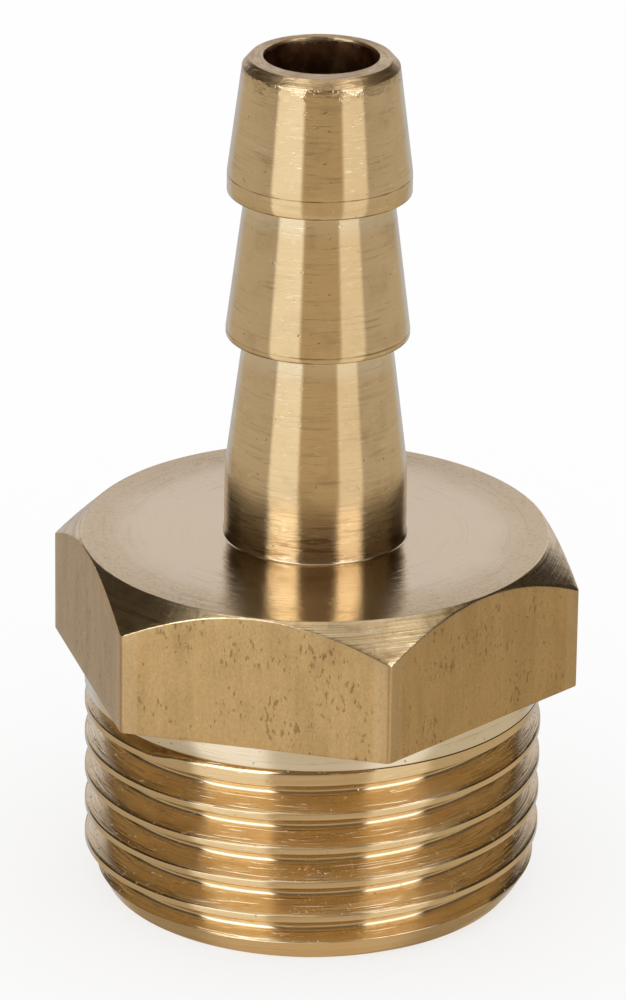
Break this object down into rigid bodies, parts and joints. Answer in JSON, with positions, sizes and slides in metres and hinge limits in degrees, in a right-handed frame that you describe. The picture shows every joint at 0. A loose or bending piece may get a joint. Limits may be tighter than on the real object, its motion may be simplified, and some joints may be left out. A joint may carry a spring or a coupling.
{
  "type": "hose barb tail",
  "caption": "One-piece turned brass fitting: a parallel male pipe thread, a hexagon collar with a crowned top, and a barbed tail with a through bore that a soft hose pushes onto.",
  "frame": {"origin": "centre of the thread's end face, on the axis, where the fitting stands", "axes": "+Z along the axis from the thread's end face to the tip of the tail; two corners of the hexagon on the X axis"},
  "size_m": [0.0196, 0.017, 0.0315],
  "materials": {
    "brass": "bright turned brass with fine tool marks; the hexagon flats keep the drawn bar's pitted skin"
  },
  "bodies": {
    "root": {"hose_tail": "brass"}
  },
  "joints": []
}
